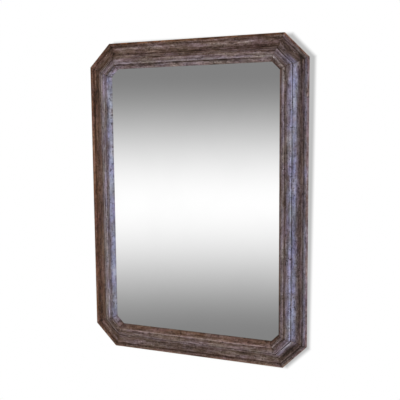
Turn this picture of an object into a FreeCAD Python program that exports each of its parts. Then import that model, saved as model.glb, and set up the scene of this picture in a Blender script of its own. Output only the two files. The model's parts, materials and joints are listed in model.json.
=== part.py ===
"""Wall mirror with canted corners: eight mitred lengths of moulding round a silvered plate.

Frame of reference, in millimetres: X to the right, Z up, Y from the room towards the wall.
The wall is the plane Y = 0, and the origin lies on it midway between the two hanging hooks.
Inside this file heights are counted from the mirror's middle, and every piece is lowered
by the height of the hooks when it is written.
"""

import FreeCAD, Part
import math
import os
from dataclasses import dataclass

Vector = FreeCAD.Vector

# Outline
overall_width = 650.0
overall_height = 900.0
corner_cut = 65.0            # leg of the 45 degree cut at each corner
wall_gap = 6.0               # free space between the frame's back and the wall

# Moulding, from the outer edge inwards: widths are across the face, heights from the back
edge_height = 7.0
rim_width = 12.0
rim_height = 12.6
rim_foot_height = 9.2
quirk_width = 1.3            # width of each narrow sunk line
quirk_depth = 1.4
step_width = 4.7             # flat between the rim and the hollow
step_height = 10.2
hollow_width = 19.0
hollow_floor = 8.8
fillet_width = 2.6           # flat shelf above the hollow
fillet_height = 20.2
fillet_riser = 1.0
swell_width = 16.7           # large quarter round
swell_height = 28.3
swell_foot_height = 20.0
swell_end_height = 27.5
groove_floor = 25.7
nose_width = 3.8             # tight bead that starts the sight slope
nose_height = 28.8
slope_width = 12.0           # rounded slope from the bead to the glass
slope_bulge = 2.2
sight_lip = 2.5              # thickness of the lip that covers the glass
rebate_width = 9.0

# Contents of the rebate, front to back
glass_thickness = 4.0
felt_thickness = 1.0
panel_thickness = 10.0
rebate_clearance = 1.5       # between the plates' edges and the rebate

# Loose tongue in each mitre
tongue_thickness = 4.0
tongue_width = 20.0          # along the mitre
tongue_reach = 9.0           # into each of the two lengths
tongue_offset = 37.0         # from the outer edge to the tongue
tongue_height = 7.0          # from the back to the tongue
tongue_clearance = 0.1

# Turn buttons
button_thickness = 1.6
button_pivot_offset = 12.0   # from the rebate to the pivot
button_reach = 22.0          # pivot to the centre of the round tip
button_eye_radius = 6.5
button_tip_radius = 4.0
stile_button_share = 0.32    # upper and lower buttons from the middle, as a share of the height
rail_button_share = 0.215    # left and right buttons from the middle, as a share of the width
pivot_clearance = 0.05

# Screws
screw_radius = 2.0
screw_head_radius = 4.0
screw_head_height = 2.4
screw_crown = 0.9            # height of the sloping part of the head
screw_flat_radius = 2.4      # flat on top of the head
screw_length = 18.0
screw_point = 4.0            # length of the pointed end
screw_tip_radius = 0.3
pilot_clearance = 0.05

# Hangers
hook_share = 0.267           # hook seat above the mirror's middle, as a share of the height
strap_offset = 50.0          # from the outer edge to the strap's middle
strap_width = 12.0
strap_thickness = 1.0
strap_length = 37.0          # below the ring's bar
strap_end_radius = 5.0
strap_fold_angle = 120.0     # how far the strap wraps round the bar, from straight up the wall
strap_screws = (12.5, 30.0)  # below the ring's bar
ring_wire_radius = 1.5
ring_half_width = 11.5       # to the middle of the wire
ring_corner_radius = 3.0
ring_leg = 7.0               # straight side between the corner and the round end
ring_clearance = 0.05
ring_rest_gap = 0.3          # between the raised ring and the stile
ring_bend_step = 15.0        # degrees from flat to flat along a bend

# Bumpers
bumper_base_radius = 10.0
bumper_face_radius = 8.0
bumper_offset = 33.0         # from the outer edge to the bumper's middle

# Worked out from the sizes above
half_turn = math.tan(math.radians(22.5))
back = -wall_gap
hook_height = hook_share * overall_height
rebate_depth = glass_thickness + felt_thickness + panel_thickness
step_end = rim_width + quirk_width + step_width
hollow_end = step_end + hollow_width
swell_start = hollow_end + fillet_width + quirk_width
swell_end = swell_start + swell_width
nose_start = swell_end + quirk_width
nose_end = nose_start + nose_width
face_width = nose_end + slope_width
rebate_offset = face_width - rebate_width
plate_offset = rebate_offset + rebate_clearance
bar_height = strap_thickness + ring_clearance + ring_wire_radius
ring_length = ring_corner_radius + ring_leg + ring_half_width
ring_lean = math.asin((bar_height - ring_wire_radius - ring_rest_gap) / ring_length)
bar_level = hook_height - (ring_length - ring_wire_radius) * math.cos(ring_lean)


@dataclass(frozen=True)
class Side:
    """One of the eight sides: its length, the middle of its outer edge and the way it faces."""

    name: str
    length: float
    x: float
    z: float
    facing: float

    def place(self, shape, along=0.0, inward=0.0):
        """Turn a shape drawn for the top side, and move it to a place on this side."""
        placed = shape.copy()
        placed.translate(Vector(along, 0, -inward))
        placed.rotate(Vector(0, 0, 0), Vector(0, 1, 0), self.facing)
        placed.translate(Vector(self.x, 0, self.z))
        return placed


def make_sides():
    """The eight sides, clockwise from the top as seen from the room."""
    half_width = overall_width / 2
    half_height = overall_height / 2
    cant_x = half_width - corner_cut / 2
    cant_z = half_height - corner_cut / 2
    cant = corner_cut * math.sqrt(2)
    rail = overall_width - 2 * corner_cut
    stile = overall_height - 2 * corner_cut
    return [
        Side("top_rail", rail, 0, half_height, 0),
        Side("top_right_cant", cant, cant_x, cant_z, 45),
        Side("right_stile", stile, half_width, 0, 90),
        Side("bottom_right_cant", cant, cant_x, -cant_z, 135),
        Side("bottom_rail", rail, 0, -half_height, 180),
        Side("bottom_left_cant", cant, -cant_x, -cant_z, 225),
        Side("left_stile", stile, -half_width, 0, 270),
        Side("top_left_cant", cant, -cant_x, cant_z, 315),
    ]


def section_point(inward, height):
    """A point of the moulding's section, from the outer edge inwards and from the back forwards."""
    return Vector(0, back - height, -inward)


def line(start, end):
    """A straight edge of the section."""
    return Part.LineSegment(section_point(*start), section_point(*end)).toShape()


def arc(start, middle, end):
    """A round edge of the section through three points."""
    return Part.Arc(section_point(*start), section_point(*middle), section_point(*end)).toShape()


def lines(*points):
    """Straight edges through a run of points."""
    return [line(a, b) for a, b in zip(points, points[1:])]


def hollow_middle(start, end):
    """The lowest point of the round hollow that joins two points and touches the hollow's floor."""
    rise_start = start[1] - hollow_floor
    rise_end = end[1] - hollow_floor
    share = math.sqrt(rise_start) / (math.sqrt(rise_start) + math.sqrt(rise_end))
    return (start[0] + share * (end[0] - start[0]), hollow_floor)


def swell_middle(start, end):
    """The highest point of the quarter round, placed as its two ends ask."""
    fall_start = swell_height - start[1]
    fall_end = swell_height - end[1]
    share = math.sqrt(fall_start) / (math.sqrt(fall_start) + math.sqrt(fall_end))
    return (start[0] + share * (end[0] - start[0]), swell_height)


def slope_middle(start, end):
    """The point of the sight slope that bulges furthest from a straight line."""
    run = end[0] - start[0]
    fall = start[1] - end[1]
    reach = math.hypot(run, fall)
    return (
        (start[0] + end[0]) / 2 + slope_bulge * fall / reach,
        (start[1] + end[1]) / 2 + slope_bulge * run / reach,
    )


def moulding_section():
    """The closed section of the moulding as a face."""
    rim_start = (0, edge_height)
    rim_top = (rim_width * 0.45, rim_height)
    rim_foot = (rim_width, rim_foot_height)
    rim_quirk = rim_foot_height - quirk_depth
    step_start = (rim_width + quirk_width, step_height)
    hollow_start = (step_end, step_height)
    hollow_top = (hollow_end, fillet_height - fillet_riser)
    shelf_end = (hollow_end + fillet_width, fillet_height)
    shelf_quirk = fillet_height - quirk_depth
    swell_foot = (swell_start, swell_foot_height)
    swell_top_end = (swell_end, swell_end_height)
    nose_foot = (nose_start, groove_floor)
    nose_top = (nose_end, nose_height)
    sight_front = (face_width, rebate_depth + sight_lip)

    edges = lines((rebate_offset, 0), (0, 0), rim_start)
    edges.append(arc(rim_start, rim_top, rim_foot))
    edges += lines(rim_foot, (rim_width, rim_quirk), (step_start[0], rim_quirk))
    edges += lines((step_start[0], rim_quirk), step_start, hollow_start)
    edges.append(arc(hollow_start, hollow_middle(hollow_start, hollow_top), hollow_top))
    edges += lines(hollow_top, (hollow_end, fillet_height), shelf_end, (shelf_end[0], shelf_quirk))
    edges += lines((shelf_end[0], shelf_quirk), (swell_start, shelf_quirk), swell_foot)
    edges.append(arc(swell_foot, swell_middle(swell_foot, swell_top_end), swell_top_end))
    edges += lines(swell_top_end, (swell_end, groove_floor), nose_foot)
    nose_rise = nose_height - groove_floor
    nose_shoulder = (nose_start + 0.3 * nose_width, groove_floor + 0.75 * nose_rise)
    edges.append(arc(nose_foot, nose_shoulder, nose_top))
    edges.append(arc(nose_top, slope_middle(nose_top, sight_front), sight_front))
    edges += lines(sight_front, (face_width, rebate_depth))
    edges += lines((face_width, rebate_depth), (rebate_offset, rebate_depth), (rebate_offset, 0))
    return Part.Face(Part.Wire(edges))


def mitred_length(length):
    """A length of moulding for the top side, cut to the mitre at both ends."""
    bar = moulding_section().extrude(Vector(length, 0, 0))
    bar.translate(Vector(-length / 2, 0, 0))
    spare = quirk_depth
    reach = nose_height + spare
    corners = []
    far = face_width + spare
    for inward, end in ((-spare, -1), (-spare, 1), (far, 1), (far, -1)):
        corners.append(Vector(end * (length / 2 - inward * half_turn), back - reach, -inward))
    wedge = Part.Face(Part.makePolygon(corners + corners[:1]))
    return bar.common(wedge.extrude(Vector(0, reach + spare, 0)))


def octagon_plate(offset, front, thickness, drop=0.0):
    """A plate with the mirror's outline, offset inwards; front is counted from the frame's back."""
    half_width = overall_width / 2 - offset
    half_height = overall_height / 2 - offset
    cut = corner_cut - offset * (2 - math.sqrt(2))
    quarter = [(half_width - cut, half_height), (half_width, half_height - cut)]
    outline = quarter + [(x, -z) for x, z in reversed(quarter)]
    outline += [(-x, z) for x, z in reversed(outline)]
    points = [Vector(x, back - front, z - drop) for x, z in outline]
    face = Part.Face(Part.makePolygon(points + points[:1]))
    return face.extrude(Vector(0, thickness, 0))


def tongue(clearance=0.0):
    """The loose tongue of the mitre at the top side's right end; with a clearance, its slot."""
    lean = math.radians(22.5)
    reach = tongue_reach + clearance
    thickness = tongue_thickness + 2 * clearance
    width = tongue_width + 2 * clearance
    body = Part.makeBox(2 * reach, thickness, width)
    start = tongue_offset / math.cos(lean) - clearance
    body.translate(Vector(-reach, back - tongue_height - tongue_thickness - clearance, -start - width))
    body.rotate(Vector(0, 0, 0), Vector(0, 1, 0), 22.5)
    return body


def at_right_end(side, shape):
    """Move a shape drawn round the top side's corner to the clockwise end of a side."""
    return side.place(shape, along=side.length / 2)


def turn_button():
    """A flat tear-shaped button that turns on its screw and points inwards."""
    spread = math.asin((button_eye_radius - button_tip_radius) / button_reach)

    def rim(radius, centre, angle):
        return Vector(radius * math.cos(angle), back, centre + radius * math.sin(angle))

    eye_right = rim(button_eye_radius, 0, -spread)
    eye_left = rim(button_eye_radius, 0, math.pi + spread)
    tip_right = rim(button_tip_radius, -button_reach, -spread)
    tip_left = rim(button_tip_radius, -button_reach, math.pi + spread)
    outline = Part.Wire([
        Part.Arc(eye_right, rim(button_eye_radius, 0, math.pi / 2), eye_left).toShape(),
        Part.LineSegment(eye_left, tip_left).toShape(),
        Part.Arc(tip_left, rim(button_tip_radius, -button_reach, -math.pi / 2), tip_right).toShape(),
        Part.LineSegment(tip_right, eye_right).toShape(),
    ])
    plate = Part.Face(outline).extrude(Vector(0, button_thickness, 0))
    radius = screw_radius + pivot_clearance
    hole = Part.makeCylinder(radius, button_thickness, Vector(0, back, 0), Vector(0, 1, 0))
    return plate.cut(hole)


def polygon(centre, first, second, flats):
    """The corners of a regular polygon; first and second are radii of it at a right angle."""
    turns = [2 * math.pi * number / flats for number in range(flats)]
    return [centre + first * math.cos(turn) + second * math.sin(turn) for turn in turns]


def plane_face(corners):
    """A flat face with these corners."""
    return Part.Face(Part.makePolygon(corners + corners[:1]))


def skin(polygons):
    """The flat faces between each polygon and the next."""
    faces = []
    for here, there in zip(polygons, polygons[1:]):
        for number in range(len(here)):
            corners = [here[number - 1], here[number], there[number], there[number - 1]]
            faces.append(plane_face(corners))
    return faces


def closed_solid(faces):
    """The solid inside a closed skin, in as few faces as it has planes."""
    solid = Part.makeSolid(Part.makeShell(faces))
    if solid.Volume < 0:
        solid.reverse()
    return solid.removeSplitter()


def turned(stations, flats):
    """A small round piece along y, worked in flats; a station is a height above the back and a radius."""
    polygons = []
    for height, radius in stations:
        middle = Vector(0, back + height, 0)
        polygons.append(polygon(middle, Vector(radius, 0, 0), Vector(0, 0, radius), flats))
    ends = [plane_face(polygons[0]), plane_face(polygons[-1])]
    return closed_solid(skin(polygons) + ends)


def pan_screw(seat):
    """A pan head wood screw that goes straight in; seat is the height of its head above the back."""
    tip = seat - screw_length
    shoulder = seat + screw_head_height - screw_crown
    stations = [(tip, screw_tip_radius), (tip + screw_point, screw_radius), (seat, screw_radius)]
    stations += [(seat, screw_head_radius), (shoulder, screw_head_radius)]
    stations.append((seat + screw_head_height, screw_flat_radius))
    return turned(stations, flats=10)


def pilot_hole(seat):
    """The hole in the wood for a screw of that seat."""
    radius = screw_radius + pilot_clearance
    depth = screw_length - seat + pilot_clearance
    return Part.makeCylinder(radius, depth, Vector(0, back, 0), Vector(0, -1, 0))


def hanger_strap():
    """A strip folded double round the ring's bar, with two screw holes; the bar is at height zero."""
    fold = math.radians(strap_fold_angle)
    middle = (fold - math.pi / 2) / 2
    both = 2 * strap_thickness

    def point(height, above):
        return Vector(0, back + above, height)

    def round_the_bar(radius, angle):
        return point(radius * math.cos(angle), bar_height + radius * math.sin(angle))

    def wrap(radius):
        turns = (-math.pi / 2, middle, fold)
        return Part.Arc(*[round_the_bar(radius, turn) for turn in turns]).toShape()

    def slope_end(radius, above):
        fall = bar_height + radius * math.sin(fold) - above
        return point(radius * math.cos(fold) - fall / math.tan(fold - math.pi / 2), above)

    outer = bar_height
    inner = bar_height - strap_thickness
    outline = [round_the_bar(outer, fold), slope_end(outer, both), point(-strap_length, both)]
    outline += [point(-strap_length, 0), point(0, 0)]
    edges = [wrap(outer)] + [Part.LineSegment(a, b).toShape() for a, b in zip(outline, outline[1:])]
    eye = [round_the_bar(inner, fold), slope_end(inner, strap_thickness), point(0, strap_thickness)]
    eye_edges = [wrap(inner)] + [Part.LineSegment(a, b).toShape() for a, b in zip(eye, eye[1:])]
    section = Part.Face(Part.Wire(edges)).cut(Part.Face(Part.Wire(eye_edges)))
    strap = section.extrude(Vector(strap_width, 0, 0))
    strap.translate(Vector(-strap_width / 2, 0, 0))
    strap = strap.Solids[0]
    lower_edges = [e for e in strap.Edges if e.BoundBox.ZMax < -strap_length + 1e-6]
    corners = [e for e in lower_edges if e.BoundBox.YLength > strap_thickness]
    strap = strap.makeFillet(strap_end_radius, corners)
    for below in strap_screws:
        radius = screw_radius + pilot_clearance
        strap = strap.cut(Part.makeCylinder(radius, both, Vector(0, back, -below), Vector(0, 1, 0)))
    return strap


def hanging_ring():
    """A D shaped ring of wire, raised and leaning on the stile; its bar is at height zero."""
    straight = ring_half_width - ring_corner_radius
    shoulder = ring_corner_radius + ring_leg
    wire_depth = Vector(0, ring_wire_radius, 0)
    bends = (
        (Vector(straight, 0, ring_corner_radius), ring_corner_radius, -90, 0),
        (Vector(0, 0, shoulder), ring_half_width, 0, 180),
        (Vector(-straight, 0, ring_corner_radius), ring_corner_radius, 180, 270),
    )
    polygons = []
    for centre, radius, first, last in bends:
        steps = round((last - first) / ring_bend_step)
        for number in range(steps + 1):
            turn = math.radians(first + (last - first) * number / steps)
            outwards = Vector(math.cos(turn), 0, math.sin(turn))
            middle = centre + outwards * radius
            polygons.append(polygon(middle, outwards * ring_wire_radius, wire_depth, flats=8))
    ring = closed_solid(skin(polygons + polygons[:1]))
    ring.rotate(Vector(0, 0, 0), Vector(1, 0, 0), math.degrees(ring_lean))
    ring.translate(Vector(0, back + bar_height, 0))
    return ring


def bumper():
    """A rubber stud whose flat face meets the wall."""
    return turned([(0, bumper_base_radius), (wall_gap, bumper_face_radius)], flats=36)


def button_places(sides):
    """Name, side and place along the side of each turn button."""
    across = rail_button_share * overall_width
    upright = stile_button_share * overall_height
    rail = (("left", -across), ("right", across))
    stile = (("upper", upright), ("middle", 0.0), ("lower", -upright))
    places = []
    for side in sides:
        downwards = -1 if side.name == "right_stile" else 1
        sideways = -1 if side.name == "bottom_rail" else 1
        if side.name.endswith("stile"):
            places += [(f"{side.name}_{word}_button", side, downwards * z) for word, z in stile]
        if side.name.endswith("rail"):
            places += [(f"{side.name}_{word}_button", side, sideways * x) for word, x in rail]
    return places


def strap_x(hand):
    """Where a hanger stands across the mirror; hand is -1 for the left and 1 for the right."""
    return hand * (overall_width / 2 - strap_offset)


def hung(shape, hand, height):
    """Move a hanger's piece to the left or right stile."""
    placed = shape.copy()
    placed.translate(Vector(strap_x(hand), 0, height))
    return placed


def build():
    """All pieces of the mirror by name."""
    sides = make_sides()
    hands = {"left": -1, "right": 1}
    pivot_inward = rebate_offset - button_pivot_offset
    places = button_places(sides)
    seat = 2 * strap_thickness
    strap_levels = [bar_level - below for below in strap_screws]

    holes = [side.place(pilot_hole(button_thickness), along, pivot_inward) for _, side, along in places]
    holes += [hung(pilot_hole(seat), hand, level) for hand in hands.values() for level in strap_levels]
    slots = [at_right_end(side, tongue(tongue_clearance)) for side in sides]
    cutter = Part.makeCompound(holes + slots)

    pieces = {}
    for side in sides:
        pieces[side.name] = side.place(mitred_length(side.length)).cut(cutter)
        pieces[f"{side.name}_mitre_tongue"] = at_right_end(side, tongue())

    glass_front = rebate_depth
    felt_front = glass_front - glass_thickness
    panel_front = felt_front - felt_thickness
    drop = rebate_clearance
    pieces["mirror_plate"] = octagon_plate(plate_offset, glass_front, glass_thickness, drop)
    pieces["felt_sheet"] = octagon_plate(plate_offset, felt_front, felt_thickness, drop)
    pieces["back_panel"] = octagon_plate(plate_offset, panel_front, panel_thickness, drop)

    screws = []
    for name, side, along in places:
        pieces[name] = side.place(turn_button(), along, pivot_inward)
        screws.append(side.place(pan_screw(button_thickness), along, pivot_inward))
    pieces["turn_button_screws"] = Part.makeCompound(screws)

    for word, hand in hands.items():
        pieces[f"{word}_hanger_strap"] = hung(hanger_strap(), hand, bar_level)
        pieces[f"{word}_hanging_ring"] = hung(hanging_ring(), hand, bar_level)
    pieces["hanger_screws"] = Part.makeCompound(
        [hung(pan_screw(seat), hand, level) for hand in hands.values() for level in strap_levels]
    )

    for side in sides:
        if side.name.startswith("bottom") and side.name.endswith("cant"):
            word = side.name.split("_")[1]
            pieces[f"{word}_wall_bumper"] = side.place(bumper(), inward=bumper_offset)
    return pieces


def write(pieces):
    """Lower every piece so that the hooks are at height zero, and write it under its name."""
    os.makedirs("parts", exist_ok=True)
    for name, shape in pieces.items():
        shape.translate(Vector(0, 0, -hook_height))
        shape.exportStep(f"parts/{name}.step")


write(build())
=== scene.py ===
import json
import logging
import math
from collections.abc import Callable, Sequence
from dataclasses import dataclass, replace
from enum import Enum
from typing import Any, ClassVar

import bmesh
import bpy
import numpy as np
from mathutils import Color, Matrix, Vector


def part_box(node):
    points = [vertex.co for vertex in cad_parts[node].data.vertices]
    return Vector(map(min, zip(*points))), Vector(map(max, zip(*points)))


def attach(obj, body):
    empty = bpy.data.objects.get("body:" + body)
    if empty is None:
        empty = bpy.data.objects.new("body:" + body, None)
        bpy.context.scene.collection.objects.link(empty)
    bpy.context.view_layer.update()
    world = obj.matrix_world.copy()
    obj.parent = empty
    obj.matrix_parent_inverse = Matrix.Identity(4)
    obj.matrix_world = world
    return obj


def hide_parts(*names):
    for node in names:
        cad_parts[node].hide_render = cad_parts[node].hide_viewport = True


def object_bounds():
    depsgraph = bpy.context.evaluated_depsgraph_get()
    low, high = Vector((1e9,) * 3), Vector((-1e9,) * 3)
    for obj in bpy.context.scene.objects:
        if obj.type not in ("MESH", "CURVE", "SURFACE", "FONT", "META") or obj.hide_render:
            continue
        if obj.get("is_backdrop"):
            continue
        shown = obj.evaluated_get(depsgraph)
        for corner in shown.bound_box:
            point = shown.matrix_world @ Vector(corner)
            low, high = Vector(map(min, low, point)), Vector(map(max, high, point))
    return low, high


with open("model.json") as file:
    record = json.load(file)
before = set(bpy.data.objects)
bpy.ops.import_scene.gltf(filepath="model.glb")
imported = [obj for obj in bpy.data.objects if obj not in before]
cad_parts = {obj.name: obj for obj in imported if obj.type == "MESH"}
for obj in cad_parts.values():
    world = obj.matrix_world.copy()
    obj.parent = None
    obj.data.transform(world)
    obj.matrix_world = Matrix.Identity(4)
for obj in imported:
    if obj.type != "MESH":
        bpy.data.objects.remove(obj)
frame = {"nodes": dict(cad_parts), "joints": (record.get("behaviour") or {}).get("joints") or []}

LOG = logging.getLogger("octagonal_mirror")

Numbers = Sequence[float]
Triple = tuple[float, float, float]
Scale = tuple[Triple, ...]
Table = tuple[tuple[float, float], ...]
Joint = dict[str, Any]
Piece = bpy.types.Object
Material = bpy.types.Material
Socket = bpy.types.NodeSocket
Test = Callable[[Vector, Vector], bool]

MM = 0.001
HAIR = 0.01 * MM
QUARTER = math.pi / 2
MITRE_SLOPE = math.tan(QUARTER / 4)
WHITE: Triple = (1.0, 1.0, 1.0)
# Most of a noise pattern lies in this range.
MOST = (0.35, 0.65)
# A direction with more than this along an axis counts as lying along it.
STRAIGHT = 0.99


class Pick(Enum):
    """The kind of mesh element that a selection works on."""

    VERTS = "VERT"
    EDGES = "EDGE"
    FACES = "FACE"


class Length(Enum):
    """The three lengths of moulding that the frame is cut from."""

    RAIL = "rail"
    STILE = "stile"
    CANT = "cant"


def tint(red: int, green: int, blue: int) -> Triple:
    """A paint colour as the eye reads it, each part from 0 to 255, in linear light."""
    return tuple(Color((red / 255, green / 255, blue / 255)).from_srgb_to_scene_linear())


def tints(*paints: tuple[int, int, int]) -> Scale:
    """Paint colours from dark to light, in linear light."""
    return tuple(tint(*paint) for paint in paints)


def bell(distance: np.ndarray, reach: float) -> np.ndarray:
    """A soft hump over many places: 1 at no distance, and all but gone at twice its reach."""
    return np.exp(-((distance / reach) ** 2))


class NodeSheet:
    """A node tree that is filled node by node."""

    def __init__(self, tree: bpy.types.NodeTree) -> None:
        """Start from an empty tree."""
        tree.nodes.clear()
        self.tree = tree

    def add(self, kind: str, settings: dict[str, Any] | None = None, **inputs: Any) -> bpy.types.Node:
        """Add a node.

        Args:
            kind: The node's type, without the words that all shader nodes begin with.
            settings: Properties of the node itself.
            **inputs: Values or sockets for its inputs; an underscore in a name stands for a space.

        Returns:
            The new node.
        """
        node = self.tree.nodes.new(f"ShaderNode{kind}")
        for name, value in (settings or {}).items():
            setattr(node, name, value)
        for name, value in inputs.items():
            self.feed(node.inputs[name.replace("_", " ")], value)
        return node

    def feed(self, socket: Socket, value: Any) -> None:
        """Give an input a value, or wire it to another node's output.

        Args:
            socket: The input.
            value: A number, a colour or an output socket.
        """
        if isinstance(value, Socket):
            self.tree.links.new(value, socket)
        elif isinstance(value, tuple) and socket.type == "RGBA":
            socket.default_value = (*value, 1.0)
        else:
            socket.default_value = value

    def wire(self, node: bpy.types.Node, *values: Any) -> Socket:
        """Feed a node's inputs in their order.

        Args:
            node: The node.
            *values: Numbers, colours or output sockets.

        Returns:
            The node's first output.
        """
        for socket, value in zip(node.inputs, values):
            self.feed(socket, value)
        return node.outputs[0]

    def own_place(self, *scale: float) -> Socket:
        """Object coordinates, stretched all ways by one scale or along each axis by its own."""
        place = self.add("TexCoord").outputs["Object"]
        return self.add("Mapping", Vector=place, Scale=(scale * 3)[:3]).outputs["Vector"]

    def attribute(self, name: str) -> Socket:
        """The vector that a piece's own attribute holds."""
        return self.add("Attribute", {"attribute_name": name}).outputs["Vector"]

    def stretched(self, vector: Socket, scale: Triple, start: float = 0.0) -> Socket:
        """A vector scaled along its three axes and moved on by a start."""
        shift = (start, start * 0.7, start * 0.3)
        return self.add("Mapping", Vector=vector, Scale=scale, Location=shift).outputs["Vector"]

    def axes(self, vector: Socket) -> list[Socket]:
        """The three numbers of a vector."""
        return list(self.add("SeparateXYZ", Vector=vector).outputs)

    def noise(self, vector: Socket, detail: float = 4.0, roughness: float = 0.55) -> Socket:
        """A cloudy pattern from 0 to 1, one unit of the vector to a patch."""
        node = self.add("TexNoise", Vector=vector, Scale=1.0, Detail=detail, Roughness=roughness)
        return node.outputs["Fac"]

    def level(self, value: Socket, low: float, high: float, start: float = 0.0, end: float = 1.0) -> Socket:
        """Stretch the range low to high over start to end, and clip it there."""
        return self.wire(self.add("MapRange", {"clamp": True}), value, low, high, start, end)

    def product(self, first: Any, second: Any) -> Socket:
        """The product of two numbers, kept from 0 to 1."""
        return self.wire(self.add("Math", {"operation": "MULTIPLY", "use_clamp": True}), first, second)

    def to_and_fro(self, value: Socket, reach: float) -> Socket:
        """A number that runs up to a reach and back to 0 as the value grows."""
        return self.wire(self.add("Math", {"operation": "PINGPONG"}), value, reach)

    def mixture(self, *parts: tuple[Socket, Any]) -> Socket:
        """Add patterns, each with its own share.

        Args:
            *parts: The patterns and their shares.

        Returns:
            Their sum.
        """
        total: Any = 0.0
        for pattern, share in parts:
            total = self.wire(self.add("Math", {"operation": "MULTIPLY_ADD"}), pattern, share, total)
        return total

    def blend(self, share: Any, under: Any, over: Any, mode: str = "MIX") -> Socket:
        """Lay one colour over another.

        Args:
            share: How much of the upper colour shows.
            under: The lower colour.
            over: The upper colour.
            mode: The way the two are mixed.

        Returns:
            The mixed colour.
        """
        node = self.add("Mix", {"data_type": "RGBA", "blend_type": mode})
        for socket, value in zip((node.inputs[0], node.inputs[6], node.inputs[7]), (share, under, over)):
            self.feed(socket, value)
        return node.outputs[2]

    def ramp(self, value: Socket, stops: Sequence[tuple[float, Triple]], run: str = "LINEAR") -> Socket:
        """Read a colour off a row of colours.

        Args:
            value: Where to read, from 0 to 1.
            stops: The places of the colours, and the colours.
            run: The way one colour runs into the next.

        Returns:
            The colour there.
        """
        node = self.add("ValToRGB", Fac=value)
        node.color_ramp.interpolation = run
        elements = node.color_ramp.elements
        while len(elements) < len(stops):
            elements.new(0.5)
        for element, (place, colour) in zip(elements, stops):
            element.position = place
            element.color = (*colour, 1.0)
        return node.outputs["Color"]

    def shade(self, value: Socket, colours: Scale) -> Socket:
        """Read a colour off a scale of evenly spaced ones, at a value from 0 to 1."""
        last = len(colours) - 1
        return self.ramp(value, [(number / last, colour) for number, colour in enumerate(colours)])

    def relief(self, height: Socket, depth: float, strength: float = 1.0) -> Socket:
        """The normal of a surface with that height pattern, depth in metres."""
        return self.add("Bump", Height=height, Distance=depth, Strength=strength).outputs["Normal"]

    def either(self, share: Socket, first: Socket, second: Socket) -> Socket:
        """Mix two shaders: a share of 0 shows the first and 1 the second."""
        return self.wire(self.add("MixShader"), share, first, second)

    def show(self, shader: Socket, output: str = "OutputMaterial") -> None:
        """Lead a shader to the tree's output."""
        self.feed(self.add(output).inputs["Surface"], shader)

    def surface(self, **inputs: Any) -> None:
        """Show the usual shader, with constants on its own sockets; an underscore stands for a space."""
        self.show(self.add("BsdfPrincipled", **inputs).outputs["BSDF"])


@dataclass(frozen=True)
class Finish:
    """A finish that makes its own material."""

    label: str

    def make(self) -> Material:
        """Make the material.

        Returns:
            The new material.
        """
        material = bpy.data.materials.new(self.label)
        material.use_nodes = True
        self.paint(NodeSheet(material.node_tree))
        return material

    def paint(self, sheet: NodeSheet) -> None:
        """Fill the sheet; each finish has its own way."""
        raise NotImplementedError


@dataclass(frozen=True)
class Cloud:
    """A cloudy pattern on the moulding: its patches to the metre along and across, its start and detail."""

    along: float
    across: float
    start: float = 0.0
    detail: float = 2.0
    roughness: float = 0.55

    def draw(self, sheet: NodeSheet, course: Socket) -> Socket:
        """The pattern from 0 to 1, laid on the moulding's course."""
        place = sheet.stretched(course, (self.along, self.across, 0.0), self.start)
        return sheet.noise(place, self.detail, self.roughness)


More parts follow.
